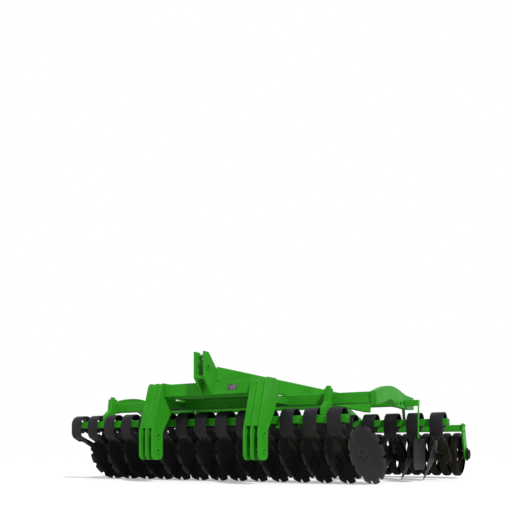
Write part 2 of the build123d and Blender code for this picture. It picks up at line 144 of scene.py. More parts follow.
class HarrowColours(bpy.types.PropertyGroup):
    """Colours of the finishes."""
    paint: colour_property("Paint", "Green paint of the frame", (0.036, 0.335, 0.016))
    paint_deep: colour_property("Deep paint", "Green paint where it is thicker", (0.028, 0.275, 0.012))
    primer: colour_property("Primer", "What shows where paint is chipped", (0.06, 0.11, 0.05))
    spring: colour_property("Spring", "Dark paint on the spring arms", (0.0085, 0.0085, 0.0125))
    spring_deep: colour_property("Deep spring", "Darker patches on the arms", (0.006, 0.006, 0.0085))
    earth: colour_property("Earth", "Dust on arms, carriers and roller", (0.0125, 0.0085, 0.0032))
    disc: colour_property("Disc", "Rolled steel of the discs", (0.0105, 0.0108, 0.0112))
    disc_deep: colour_property("Deep disc", "Scale on the discs", (0.0075, 0.0078, 0.0082))
    cutting_edge: colour_property("Cutting edge", "Ground rim of the discs", (0.022, 0.022, 0.024))
    cast: colour_property("Casting", "Carriers and housings", (0.0075, 0.006, 0.004))
    cast_deep: colour_property("Deep casting", "Darker patches on the castings", (0.0045, 0.004, 0.003))
    clamp: colour_property("Clamp", "Clamp plates", (0.0085, 0.0085, 0.009))
    bolt: colour_property("Bolt", "Bolts and nuts", (0.025, 0.025, 0.027))
    roller: colour_property("Roller", "Paint of the roller", (0.0045, 0.0037, 0.003))
    roller_deep: colour_property("Deep roller", "Darker patches on the roller", (0.003, 0.0027, 0.0023))
    deflector: colour_property("Deflector", "Deflector plate", (0.0085, 0.0088, 0.0068))
    label: colour_property("Label", "Blank label plate", (0.22, 0.22, 0.22))


class HarrowSprings(bpy.types.PropertyGroup):
    """Sizes of the spring arms and their carriers."""
    width: length_property("Width", "Width of a leaf", 0.14)
    thickness: length_property("Thickness", "Thickness of a leaf", 0.014)
    arch: length_property("Arch", "Radius of the arch round the beam", 0.103)
    foot_bend: length_property("Foot bend", "Radius of the bend at the foot", 0.055)
    foot_reach: length_property("Foot reach", "How far the foot passes the beam's middle", 0.034)
    tip_drop: length_property("Tip drop", "Straight run down from the arch", 0.08)
    tip_bend: length_property("Tip bend", "Radius of the bend at the tip", 0.08)
    tip_turn: angle_property("Tip turn", "Turn of the bend at the tip", 66)
    tip_length: length_property("Tip length", "Straight run at the tip", 0.076)
    corner: length_property("Corner", "Rounding of the leaf's long edges", 0.004)
    pitch: length_property("Pitch", "Distance between two arms", 0.25)
    count: IntProperty(name="Count", description="Arms in a row", default=14, min=1)
    lap: length_property("Lap", "Lap of carrier and leaf", 0.062)
    carrier_width: length_property("Carrier width", "Width of the carrier casting", 0.08)
    carrier_side: length_property("Carrier side", "Sideways place of the carrier from its arm", -0.01)
    carrier_run: length_property("Carrier run", "Straight run of the carrier", 0.25)
    carrier_end: length_property("Carrier end", "Radius of the carrier's lower end", 0.052)
    carrier_tip: length_property("Carrier tip", "Thickness of the carrier at the leaf", 0.024)
    carrier_thickness: length_property("Carrier thickness", "Thickness of the carrier at the hub", 0.04)


class HarrowDiscs(bpy.types.PropertyGroup):
    """Sizes of the discs and hubs."""
    radius: length_property("Radius", "Radius over the lobes", 0.3)
    thickness: length_property("Thickness", "Thickness of the steel", 0.006)
    edge: length_property("Edge", "Thickness of the ground rim", 0.003)
    dish: length_property("Dish", "Depth from the rim to the flat middle", 0.05)
    flat: length_property("Flat", "Radius of the flat middle", 0.084)
    notch: length_property("Notch", "Depth of a notch", 0.038)
    lobe: angle_property("Lobe", "Width of a lobe between two notches", 20)
    count: IntProperty(name="Notches", description="Notches of a disc", default=12, min=3)
    hub: length_property("Hub", "Radius of the hub on the disc", 0.062)
    hub_length: length_property("Hub length", "Length of the hub on the disc", 0.022)
    gap: length_property("Gap", "Gap between hub and housing", 0.0005)
    housing: length_property("Housing", "Radius of the bearing housing", 0.046)
    housing_length: length_property("Housing length", "Length of the bearing housing", 0.092)
    bolts: IntProperty(name="Bolts", description="Bolts that hold a disc", default=5, min=3)
    bolt_circle: length_property("Bolt circle", "Radius of the bolt circle", 0.05)


class HarrowRoller(bpy.types.PropertyGroup):
    """Sizes of the ring roller."""
    radius: length_property("Radius", "Outer radius of the rings", 0.26)
    groove: length_property("Groove", "Depth of a ring's section", 0.034)
    pitch: length_property("Pitch", "Distance between two rings", 0.125)
    count: IntProperty(name="Rings", description="Number of rings", default=31, min=1)
    face: length_property("Face", "Width of a ring's flat", 0.062)
    base: length_property("Base", "Width of a ring at its foot", 0.097)
    wall: length_property("Wall", "Wall of a ring", 0.006)
    axle: length_property("Axle", "Radius of the axle tube", 0.045)
    stub: length_property("Stub", "Radius of the end stubs", 0.03)
    stub_length: length_property("Stub length", "Reach of a stub past the rings", 0.0775)
    spoke_width: length_property("Spoke width", "Width of a ring's bar", 0.05)
    spoke_thickness: length_property("Spoke thickness", "Thickness of a ring's bar", 0.012)
    turn: angle_property("Turn", "Turn from one ring's bar to the next", 60)


class HarrowStage(bpy.types.PropertyGroup):
    """Light, floor and camera."""
    sun: FloatProperty(name="Sun", description="Strength of the soft sun", default=2.5, min=0)
    sun_size: angle_property("Sun size", "Apparent size of the soft sun", 6)
    sun_from: FloatVectorProperty(
        name="Sun from", description="Direction the sun shines from", default=(0.62, -0.45, 0.64),
        subtype="DIRECTION")
    ambient: FloatProperty(
        name="Ambient", description="Strength of the world's light", default=0.36, min=0)
    floor_tone: FloatProperty(
        name="Floor tone", description="Grey of the floor", default=0.86, min=0, max=1)
    floor_lift: FloatProperty(
        name="Floor lift", description="Brightness added to the seen floor", default=0.34, min=0)
    floor_size: length_property("Floor size", "Side of the floor", 60)
    camera_place: FloatVectorProperty(
        name="Camera", description="Place of the camera", default=(3.796, -7.055, 0.296),
        subtype="TRANSLATION")
    camera_turn: angle_property("Camera turn", "Turn of the camera round the vertical", 29.53)
    lens: FloatProperty(name="Lens", description="Focal length", default=47.6, min=1, unit="CAMERA")
    shift: FloatProperty(name="Shift", description="Upward shift of the view", default=0.3864)


SETTINGS = [
    ("harrow_colours", HarrowColours),
    ("harrow_springs", HarrowSprings),
    ("harrow_discs", HarrowDiscs),
    ("harrow_roller", HarrowRoller),
    ("harrow_stage", HarrowStage),
]


def add_node(tree, kind, inputs=None, **settings):
    """A node with its settings, and its inputs set or linked."""
    node = tree.nodes.new(kind)
    for name, value in settings.items():
        setattr(node, name, value)
    for key, value in (inputs or {}).items():
        if isinstance(value, bpy.types.NodeSocket):
            tree.links.new(value, node.inputs[key])
        else:
            node.inputs[key].default_value = value
    return node


def start_group(name, inputs, outputs):
    """An empty shader group with float inputs and outputs, and its two end nodes."""
    tree = bpy.data.node_groups.new(name, "ShaderNodeTree")
    for label, value in inputs:
        socket = tree.interface.new_socket(name=label, in_out="INPUT", socket_type="NodeSocketFloat")
        socket.default_value = value
    for label in outputs:
        tree.interface.new_socket(name=label, in_out="OUTPUT", socket_type="NodeSocketFloat")
    return tree, add_node(tree, "NodeGroupInput"), add_node(tree, "NodeGroupOutput")


def group_node(tree, name, inputs):
    node = tree.nodes.new("ShaderNodeGroup")
    node.node_tree = bpy.data.node_groups[name]
    for key, value in inputs.items():
        node.inputs[key].default_value = value
    return node


def ranged(tree, value, low, high, start=0.0, end=1.0):
    """value taken from low..high to start..end."""
    inputs = {"Value": value, "From Min": low, "From Max": high, "To Min": start, "To Max": end}
    return add_node(tree, "ShaderNodeMapRange", inputs).outputs["Result"]


def reckoned(tree, operation, first, second=0.5):
    """What a Math node makes of two values."""
    return add_node(tree, "ShaderNodeMath", {0: first, 1: second}, operation=operation).outputs["Value"]


def times(tree, first, second):
    return reckoned(tree, "MULTIPLY", first, second)


def plus(tree, first, second):
    return reckoned(tree, "ADD", first, second)


def cloudy(tree, place, scale, detail, roughness=0.5):
    """Cloudy values over a place."""
    inputs = {"Vector": place, "Scale": scale, "Detail": detail, "Roughness": roughness}
    return add_node(tree, "ShaderNodeTexNoise", inputs).outputs["Fac"]


def patchy_finish():
    """Soft patches, and a fine grain for the relief."""
    inputs = [("Scale", 6.0), ("Grain", 90.0)]
    tree, start, end = start_group("patchy_finish", inputs, ["Patches", "Height"])
    place = add_node(tree, "ShaderNodeTexCoord").outputs["Object"]
    patches = cloudy(tree, place, start.outputs["Scale"], 5.0, 0.6)
    tree.links.new(ranged(tree, patches, 0.35, 0.65), end.inputs["Patches"])
    tree.links.new(cloudy(tree, place, start.outputs["Grain"], 3.0), end.inputs["Height"])


def chipped_edge():
    """Flakes of lost paint, over a share of the surface."""
    tree, start, end = start_group("chipped_edge", [("Scale", 38.0), ("Share", 0.4)], ["Chips"])
    place = add_node(tree, "ShaderNodeTexCoord").outputs["Object"]
    flakes = cloudy(tree, place, start.outputs["Scale"], 6.0, 0.7)
    level = reckoned(tree, "SUBTRACT", 1.0, start.outputs["Share"])
    over = reckoned(tree, "SUBTRACT", flakes, level)
    tree.links.new(ranged(tree, over, 0.0, 0.04), end.inputs["Chips"])


def ground_dust():
    """Dust that is whole below Low and gone above High."""
    inputs = [("Low", 0.1), ("High", 0.6), ("Scale", 9.0)]
    tree, start, end = start_group("ground_dust", inputs, ["Dust"])
    place = add_node(tree, "ShaderNodeTexCoord").outputs["Object"]
    height = add_node(tree, "ShaderNodeSeparateXYZ", {"Vector": place}).outputs["Z"]
    fall = ranged(tree, height, start.outputs["High"], start.outputs["Low"])
    cloud = cloudy(tree, place, start.outputs["Scale"], 4.0)
    dust = times(tree, fall, ranged(tree, cloud, 0.25, 0.6, 0.55, 1.0))
    tree.links.new(dust, end.inputs["Dust"])


def turned_marks():
    """Fine rings round a disc's middle, and its ground rim."""
    inputs = [("Rings", 900.0), ("Edge", 0.255)]
    tree, start, end = start_group("turned_marks", inputs, ["Marks", "Rim"])
    face = add_node(tree, "ShaderNodeUVMap", uv_map="disc_face").outputs["UV"]
    reach = add_node(tree, "ShaderNodeVectorMath", {0: face}, operation="LENGTH").outputs["Value"]
    wobble = cloudy(tree, face, 14.0, 3.0)
    phase = plus(tree, times(tree, reach, start.outputs["Rings"]), times(tree, wobble, 9.0))
    wave = reckoned(tree, "SINE", phase)
    tree.links.new(ranged(tree, wave, -1.0, 1.0), end.inputs["Marks"])
    ragged = plus(tree, reach, times(tree, wobble, 0.02))
    from_edge = reckoned(tree, "SUBTRACT", ragged, start.outputs["Edge"])
    tree.links.new(ranged(tree, from_edge, 0.008, 0.028), end.inputs["Rim"])


def mixed(tree, mask, first, second):
    """Colour first, turning to second where the mask is 1."""
    node = add_node(tree, "ShaderNodeMix", data_type="RGBA")
    tree.links.new(mask, node.inputs["Factor"])
    for index, colour in ((6, first), (7, second)):
        if isinstance(colour, bpy.types.NodeSocket):
            tree.links.new(colour, node.inputs[index])
        else:
            node.inputs[index].default_value = (*colour, 1)
    return node.outputs[2]


def colour_of(name):
    """A colour of the settings."""
    return getattr(bpy.context.scene.harrow_colours, name)[:]


def make_finish(name, colour, deep, rough, metallic=0.0, specular=0.3, patch=6.0, grain=90.0,
                bump=0.0004, dust=None, chips=None, rim=None):
    """A finish of two patchy colours.

    dust gives the heights between which earth on it fades, chips the colour and share of lost paint, and
    rim the colour of a ground rim on a face with turned marks.
    """
    material = bpy.data.materials.new(name)
    material.use_nodes = True
    tree = material.node_tree
    shader = tree.nodes["Principled BSDF"]
    patchy = group_node(tree, "patchy_finish", {"Scale": patch, "Grain": grain})
    skin = mixed(tree, patchy.outputs["Patches"], colour_of(colour), colour_of(deep))
    height = patchy.outputs["Height"]
    roughness = ranged(tree, patchy.outputs["Patches"], 0.0, 1.0, rough, rough + 0.1)
    if rim:
        marked = group_node(tree, "turned_marks", {})
        skin = mixed(tree, marked.outputs["Rim"], skin, colour_of(rim))
        height = plus(tree, height, times(tree, marked.outputs["Marks"], 0.5))
    if chips:
        chipped = group_node(tree, "chipped_edge", {"Share": chips[1]})
        skin = mixed(tree, chipped.outputs["Chips"], skin, colour_of(chips[0]))
    if dust:
        dusty = group_node(tree, "ground_dust", {"Low": dust[0], "High": dust[1]})
        skin = mixed(tree, dusty.outputs["Dust"], skin, colour_of("earth"))
        roughness = plus(tree, roughness, times(tree, dusty.outputs["Dust"], 0.2))
    relief = add_node(tree, "ShaderNodeBump", {"Height": height, "Strength": 1.0, "Distance": bump})
    tree.links.new(skin, shader.inputs["Base Color"])
    tree.links.new(roughness, shader.inputs["Roughness"])
    tree.links.new(relief.outputs["Normal"], shader.inputs["Normal"])
    shader.inputs["Metallic"].default_value = metallic
    shader.inputs["Specular IOR Level"].default_value = specular


def make_finishes():
    """Every finish of the machine, over the effects that they share."""
    for effect in (patchy_finish, chipped_edge, ground_dust, turned_marks):
        effect()
    make_finish("green_paint", "paint", "paint_deep", 0.42, specular=0.1, patch=3.0, grain=220.0)
    make_finish("green_paint_edge", "paint", "paint_deep", 0.4, specular=0.16, grain=220.0,
                chips=("primer", 0.36))
    make_finish("spring_paint", "spring", "spring_deep", 0.5, specular=0.22, patch=7.0, grain=160.0,
                dust=(0.38, 0.66))
    make_finish("rolled_disc_steel", "disc", "disc_deep", 0.5, metallic=0.1, specular=0.17, patch=11.0,
                grain=120.0, bump=0.0003, rim="cutting_edge")
    make_finish("cast_iron", "cast", "cast_deep", 0.6, specular=0.14, patch=12.0, grain=170.0,
                bump=0.0009, dust=(0.3, 0.62))
    make_finish("clamp_paint", "clamp", "spring_deep", 0.5, patch=10.0, grain=160.0)
    make_finish("bolt_steel", "bolt", "clamp", 0.4, metallic=0.5, patch=40.0, grain=300.0, bump=0.0002)
    make_finish("roller_paint", "roller", "roller_deep", 0.55, specular=0.1, patch=9.0, grain=120.0,
                bump=0.0006, dust=(-0.5, 0.42))
    make_finish("deflector_paint", "deflector", "disc_deep", 0.5, specular=0.09, patch=8.0, grain=180.0)
    make_finish("label_sheet", "label", "bolt", 0.35, metallic=0.4, patch=30.0, grain=260.0, bump=0.0001)


def to_mesh(bm, name):
    """Puts a bmesh into a new mesh and frees it."""
    mesh = bpy.data.meshes.new(name)
    bm.to_mesh(mesh)
    bm.free()
    return mesh


def add_object(name, data):
    """A new object of the scene."""
    made = bpy.data.objects.new(name, data)
    bpy.context.scene.collection.objects.link(made)
    return made


def new_piece(bm, name, finishes, body, nodes=(), bevel=None, segments=2, edge_finish=-1):
    """Turns a bmesh into an object that rides on its body and stands for the nodes given."""
    mesh = to_mesh(bm, name)
    for finish in finishes:
        mesh.materials.append(bpy.data.materials[finish])
    mesh.shade_smooth()
    mesh.set_sharp_from_angle(angle=SMOOTH_ANGLE)
    piece = add_object(name, mesh)
    if bevel:
        edge = piece.modifiers.new("edges", "BEVEL")
        edge.width = bevel
        edge.segments = segments
        edge.limit_method = "ANGLE"
        edge.angle_limit = SMOOTH_ANGLE
        edge.use_clamp_overlap = False
        edge.harden_normals = True
        edge.material = edge_finish
    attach(piece, body)
    if nodes:
        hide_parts(*nodes)


def merged_copy(node):
    """A CAD node's mesh with its loose triangles merged into whole faces."""
    bm = bmesh.new()
    bm.from_mesh(frame["nodes"][node].data)
    bmesh.ops.remove_doubles(bm, verts=bm.verts, dist=MERGE)
    bmesh.ops.dissolve_limit(bm, angle_limit=FLAT_ANGLE, verts=bm.verts, edges=bm.edges)
    return bm


def as_mesh(bm, name):
    """A scratch mesh that copies are placed from, its points merged and its faces outwards."""
    bmesh.ops.remove_doubles(bm, verts=bm.verts, dist=MERGE)
    bmesh.ops.recalc_face_normals(bm, faces=bm.faces)
    return to_mesh(bm, name)


def place_copies(bm, mesh, places):
    """Adds a copy of the mesh at each matrix."""
    for place in places:
        copy = mesh.copy()
        copy.transform(place)
        bm.from_mesh(copy)
        bpy.data.meshes.remove(copy)


def copied(mesh, places):
    """A bmesh with a copy of the mesh at each matrix."""
    bm = bmesh.new()
    place_copies(bm, mesh, places)
    return bm


def facing(origin, axis):
    """A place whose Z points along the axis."""
    return Matrix.Translation(origin) @ Vector(axis).to_track_quat("Z", "Y").to_matrix().to_4x4()


def turned(profile, steps):
    """A turned shape round Z from pairs of radius and height, closed where the profile meets the axis."""
    bm = bmesh.new()
    spin_line(bm, profile, steps)
    return as_mesh(bm, "turned_shape")


def spin_line(bm, profile, steps):
    """Turns a line of pairs of radius and height round Z."""
    line = [bm.verts.new((radius, 0, height)) for radius, height in profile]
    edges = [bm.edges.new(pair) for pair in zip(line, line[1:])]
    bmesh.ops.spin(bm, geom=line + edges, cent=(0, 0, 0), axis=(0, 0, 1), angle=tau, steps=steps,
                   use_merge=True)


def mirrored(profile):
    """The profile's other half, below height 0, so that the two make one line."""
    return [(radius, -height) for radius, height in reversed(profile)]


def round_off(bm, parts, offset, segments=2, affect="EDGES", **settings):
    """Rounds edges, or corners with affect VERTICES."""
    bmesh.ops.bevel(bm, geom=parts, offset=offset, offset_type="OFFSET", segments=segments, profile=0.5,
                    affect=affect, material=-1, **settings)


def only(made, kind):
    """The parts of one kind among what an operator made."""
    return [part for part in made if isinstance(part, kind)]


def push(bm, face, offset):
    """Extrudes a face and moves it."""
    made = bmesh.ops.extrude_face_region(bm, geom=[face])["geom"]
    bmesh.ops.translate(bm, vec=offset, verts=only(made, bmesh.types.BMVert))
    return only(made, bmesh.types.BMFace)[0]


def swing(bm, face, centre, angle, steps):
    """Spins a face round X about a centre."""
    made = bmesh.ops.spin(bm, geom=[face], cent=centre, axis=(1, 0, 0), angle=angle, steps=steps)
    return only(made["geom_last"], bmesh.types.BMFace)[0]


def slab(outline, start_x, thickness):
    """A plate that lies across X from start_x on, with an outline of pairs of Y and Z."""
    bm = bmesh.new()
    cheek = bm.faces.new([bm.verts.new((start_x, y, z)) for y, z in outline])
    push(bm, cheek, (thickness, 0, 0))
    bmesh.ops.recalc_face_normals(bm, faces=bm.faces)
    return bm


def recess_ends(bm, margin, depth):
    """Sets the middles of the faces towards left and right inwards, within a margin."""
    for face in [each for each in bm.faces if abs(each.normal.x) > LOOKS_ALONG]:
        inward = -depth * face.normal
        bmesh.ops.inset_individual(bm, faces=[face], thickness=margin)
        bmesh.ops.translate(bm, vec=inward, verts=face.verts)


def bolt_mesh(radius, height, finish_index=0):
    """A washer with a hexagon head on it, standing on Z = 0."""
    washer_radius, washer_top = radius * WASHER_REACH, height * WASHER_HEIGHT
    head_height = height - washer_top
    bm = bmesh.new()
    head = Matrix.Translation((0, 0, washer_top + head_height / 2))
    bmesh.ops.create_cone(bm, cap_ends=True, segments=6, radius1=radius, radius2=radius * HEAD_TAPER,
                          depth=head_height, matrix=head)
    top = [face for face in bm.faces if face.normal.z > LOOKS_ALONG]
    bmesh.ops.inset_region(bm, faces=top, thickness=radius * CROWN_MARGIN, depth=height * CROWN_RISE)
    washer = turned([(0, 0), (washer_radius, 0), (washer_radius, washer_top), (0, washer_top)], 16)
    place_copies(bm, washer, [Matrix.Identity(4)])
    mesh = as_mesh(bm, "bolt_shape")
    for face in mesh.polygons:
        face.material_index = finish_index
    return mesh


def bolts(name, places, radius, height, finish="bolt_steel", slot="clamp_steel"):
    """Bolts on the frame, one at each place."""
    new_piece(copied(bolt_mesh(radius, height), places), name, [finish], "frame")


def painted_piece(bm, node, bevel, segments=2):
    """A part of the frame in green paint, chipped along its edges."""
    new_piece(bm, "painted_" + node, ["green_paint", "green_paint_edge"], "frame", [node],
              bevel, segments, edge_finish=1)


class HARROW_OT_stage(bpy.types.Operator):
    """Floor, soft light, white background and the camera"""
    bl_idname = "harrow.stage"
    bl_label = "Stage"

    floor_cells = 8
    sun_place = (4, -4, 5)
    view_reach = 200

    def execute(self, context):
        stage = context.scene.harrow_stage
        self.floor(stage)
        self.light(stage)
        self.camera(stage)
        return {"FINISHED"}

    def floor(self, stage):
        """A pale floor that shows the machine's shadow and looks white around it."""
        bm = bmesh.new()
        bmesh.ops.create_grid(bm, x_segments=self.floor_cells, y_segments=self.floor_cells,
                              size=stage.floor_size / 2)
        mesh = to_mesh(bm, "floor")
        mesh.materials.append(self.floor_card(stage))
        floor = add_object("floor", mesh)

    def floor_card(self, stage):
        """Pale matt card, with light added where a ray sees it directly."""
        card = bpy.data.materials.new("floor_card")
        card.use_nodes = True
        tree = card.node_tree
        tree.nodes.remove(tree.nodes["Principled BSDF"])
        seen = self.seen_directly(tree)
        tone = stage.floor_tone
        matt = add_node(tree, "ShaderNodeBsdfDiffuse", {"Color": (tone, tone, tone, 1)})
        lift = add_node(tree, "ShaderNodeEmission", {"Strength": times(tree, seen, stage.floor_lift)})
        both = add_node(tree, "ShaderNodeAddShader", {0: matt.outputs[0], 1: lift.outputs[0]})
        tree.links.new(both.outputs[0], tree.nodes["Material Output"].inputs["Surface"])
        return card

    def light(self, stage):
        """White surroundings that light the machine plainly, and a soft sun."""
        world = bpy.data.worlds.new("studio")
        bpy.context.scene.world = world
        world.use_nodes = True
        tree = world.node_tree
        sky = tree.nodes["Background"]
        level = ranged(tree, self.seen_directly(tree), 0.0, 1.0, stage.ambient, 1.0)
        sky.inputs["Color"].default_value = (1, 1, 1, 1)
        tree.links.new(level, sky.inputs["Strength"])

        lamp = bpy.data.lights.new("soft_sun", "SUN")
        lamp.energy = stage.sun
        lamp.angle = stage.sun_size
        sun = add_object("soft_sun", lamp)
        sun.matrix_world = facing(self.sun_place, stage.sun_from)

    def camera(self, stage):
        """The camera, level and with its view shifted up."""
        view = bpy.data.cameras.new("camera")
        view.lens = stage.lens
        view.shift_y = stage.shift
        view.clip_end = self.view_reach
        camera = add_object("camera", view)
        camera.location = stage.camera_place
        camera.rotation_euler = (pi / 2, 0, stage.camera_turn)
        scene = bpy.context.scene
        scene.camera = camera
        scene.view_settings.view_transform = "Standard"

    def seen_directly(self, tree):
        """1 for camera, glossy and transmission rays."""
        rays = add_node(tree, "ShaderNodeLightPath").outputs
        either = reckoned(tree, "MAXIMUM", rays["Is Camera Ray"], rays["Is Glossy Ray"])
        return reckoned(tree, "MAXIMUM", either, rays["Is Transmission Ray"])


class HARROW_OT_painted_steel(bpy.types.Operator):
    """Beams, plates and legs with rounded edges and worn paint on them"""
    bl_idname = "harrow.painted_steel"
    bl_label = "Painted steel"

    tube_corner = 0.009
    tube_wall = 0.011
    cap_depth = 0.003

    def execute(self, context):
        for node in PAINTED:
            bm = merged_copy(node)
            if node in CAPPED:
                recess_ends(bm, self.tube_wall, self.cap_depth)
            if node in TUBES:
                painted_piece(bm, node, self.tube_corner, segments=3)
            else:
                painted_piece(bm, node, PLATE_CORNER)
        return {"FINISHED"}


def leaf_path(springs):
    """Height of a leaf's foot, Y and Z of its first bend's centre, and the angle where the arch starts."""
    foot_z = -(DISC_BEAM_HALF + SEAT + springs.thickness / 2)
    bend_z = foot_z + springs.foot_bend
    bend_y = sqrt((springs.arch - springs.foot_bend) ** 2 - bend_z ** 2)
    lift = atan2(bend_z, bend_y)
    return foot_z, bend_y, bend_z, lift


def tip_frame(springs):
    """The middle of a leaf's end, the direction of its run, and its inward side, from its beam's middle."""
    turn = pi + springs.tip_turn
    along = Vector((0, -sin(turn), cos(turn)))
    inward = Vector((0, -cos(turn), -sin(turn)))
    centre = Vector((0, springs.tip_bend - springs.arch, -springs.tip_drop))
    end = centre - springs.tip_bend * inward + springs.tip_length * along
    return end, along, inward


def arm_middles(row):
    """Where each arm of a row sits: the middle of its beam above its clamp."""
    springs = bpy.context.scene.harrow_springs
    beam_low, beam_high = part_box(f"{row}_disc_beam")
    clamp_low, clamp_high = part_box(f"{row}_spring_clamps")
    span = (springs.count - 1) * springs.pitch
    first = (clamp_low.x + clamp_high.x - span) / 2
    middle = (beam_low + beam_high) / 2
    return [Vector((first + springs.pitch * index, middle.y, middle.z)) for index in range(springs.count)]


class HARROW_OT_spring_arms(bpy.types.Operator):
    """C shaped leaves bent round the disc beams, with the bolts at their tips"""
    bl_idname = "harrow.spring_arms"
    bl_label = "Spring arms"

    corner_steps = 3
    foot_steps = 8
    arch_steps = 18
    tip_steps = 9
    bolt_side = 0.024
    bolt_radius = 0.011

    def execute(self, context):
        springs = context.scene.harrow_springs
        leaf = self.leaf(springs)
        end, along, inward = tip_frame(springs)
        spot = end - along * springs.lap / 2 - inward * springs.thickness / 2
        for row, row_side in ROWS:
            middles = arm_middles(row)
            leaves = copied(leaf, [Matrix.Translation(middle) for middle in middles])
            new_piece(leaves, f"{row}_spring_leaves", ["spring_paint"], "frame",
                      [f"{row}_spring_arms"])
            heads = []
            for middle in middles:
                for side in (-1, 1):
                    across = Vector((springs.carrier_side * row_side + side * self.bolt_side, 0, 0))
                    heads.append(facing(middle + spot + across, -inward))
            bolts(f"{row}_tip_bolts", heads, self.bolt_radius, self.bolt_radius, "cast_iron", "cast_hub")
        return {"FINISHED"}

    def leaf(self, springs):
        """One leaf from foot to tip, round its beam's middle."""
        foot_z, bend_y, bend_z, lift = leaf_path(springs)
        bm = bmesh.new()
        size = Matrix.Diagonal((springs.width, springs.thickness, 1, 1))
        stand = Matrix.Translation((0, -springs.foot_reach, foot_z)) @ Matrix.Rotation(pi / 2, 4, "X")
        bmesh.ops.create_grid(bm, x_segments=1, y_segments=1, size=0.5, matrix=stand @ size)
        round_off(bm, bm.verts[:], springs.corner, self.corner_steps, "VERTICES")
        face = bm.faces[:][0]
        tip_centre = (0, springs.tip_bend - springs.arch, -springs.tip_drop)
        face = push(bm, face, (0, springs.foot_reach + bend_y, 0))
        face = swing(bm, face, (0, bend_y, bend_z), pi / 2 + lift, self.foot_steps)
        face = swing(bm, face, (0, 0, 0), pi - lift, self.arch_steps)
        face = push(bm, face, (0, 0, -springs.tip_drop))
        face = swing(bm, face, tip_centre, springs.tip_turn, self.tip_steps)
        push(bm, face, tip_frame(springs)[1] * springs.tip_length)
        return as_mesh(bm, "leaf_shape")


class HARROW_OT_clamps(bpy.types.Operator):
    """Clamp plates under the beams, with four bolts each"""
    bl_idname = "harrow.clamps"
    bl_label = "Clamps"

    corner = 0.005
    bolt_side = 0.043
    bolt_end = 0.03
    bolt_radius = 0.011
    bolt_height = 0.014

    def execute(self, context):
        for row, _ in ROWS:
            node = f"{row}_spring_clamps"
            low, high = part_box(node)
            new_piece(merged_copy(node), f"{row}_clamp_plates", ["clamp_paint"], "frame",
                      [node], self.corner, 3)
            spots = [
                facing((middle.x + side * self.bolt_side, middle.y + end * self.bolt_end, low.z), (0, 0, -1))
                for middle in arm_middles(row) for side in (-1, 1) for end in (-1, 1)
            ]
            bolts(f"{row}_clamp_bolts", spots, self.bolt_radius, self.bolt_height)
        return {"FINISHED"}


def disc_place(joint):
    """Place of a disc: Z along its spindle to the hollow side, X to its lowest rim point."""
    axis = Vector(joint["axis"]).normalized()
    down = Vector((0, 0, -1))
    low = (down - down.dot(axis) * axis).normalized()
    directions = Matrix((low, axis.cross(low), axis)).transposed().to_4x4()
    return Matrix.Translation(joint["pos_m"]) @ directions


def disc_joints(row):
    """The joints of a row's discs, from left to right."""
    return [joint for joint in frame["joints"] if joint["name"].startswith(f"{row}_disc_")]


def body_centre(body):
    """Where the joint of a body stands."""
    return Vector(next(joint for joint in frame["joints"] if joint["child"] == body)["pos_m"])


class HARROW_OT_carriers(bpy.types.Operator):
    """Castings from the leaf tips to the turned bearing housings"""
    bl_idname = "harrow.carriers"
    bl_label = "Carriers"

    recess_margin = 0.008
    recess_depth = 0.012
    corner = 0.0035

    # A housing's flange: shares of its radius and depths behind its face
    flange_profile = [(1.12, 0), (1.16, 0.004), (1.16, 0.014), (1, 0.018)]

    # The housing behind its flange: shares of its radius and of its length
    body_profile = [(1, 0.72), (0.92, 0.78), (0.92, 0.94), (0.75, 1)]

    def execute(self, context):
        springs = context.scene.harrow_springs
        discs = context.scene.harrow_discs
        for row, side in ROWS:
            middles = arm_middles(row)
            joint = disc_joints(row)[0]
            place = Matrix.Translation(-middles[0]) @ disc_place(joint)
            casting = self.casting(springs, discs, side, place)
            castings = copied(casting, [Matrix.Translation(middle) for middle in middles])
            new_piece(castings, f"{row}_hub_castings", ["cast_iron"], "frame",
                      [f"{row}_disc_carriers"])
        return {"FINISHED"}

    def casting(self, springs, discs, side, place):
        """One carrier with its housing, in its arm's own place."""
        end, along, inward = tip_frame(springs)
        base = end + inward * (springs.thickness / 2 + SEAT) - along * springs.lap
        face = -(discs.dish + discs.hub_length + discs.gap)
        hub = place @ Vector((0, 0, face - discs.housing_length + discs.housing / 2))
        reach = springs.carrier_end
        outline = [
            base,
            base + inward * springs.carrier_tip,
            base + along * springs.carrier_run + inward * springs.carrier_thickness,
            Vector((0, hub.y + reach, hub.z)),
            Vector((0, hub.y + reach / 2, hub.z - reach)),
            Vector((0, hub.y - reach / 2, hub.z - reach)),
            base + along * springs.carrier_run,
        ]
        start_x = side * springs.carrier_side - springs.carrier_width / 2
        bm = slab([point.yz for point in outline], start_x, springs.carrier_width)
        recess_ends(bm, self.recess_margin, self.recess_depth)
        round_off(bm, bm.edges[:], self.corner, clamp_overlap=True)
        radius, length = discs.housing, discs.housing_length
        housing = [(0, face)]
        housing += [(radius * share, face - depth) for share, depth in self.flange_profile]
        housing += [(radius * share, face - length * run) for share, run in self.body_profile]
        housing.append((0, face - length))
        place_copies(bm, turned(housing, SMALL_ROUND), [place])
        return as_mesh(bm, "carrier_shape")


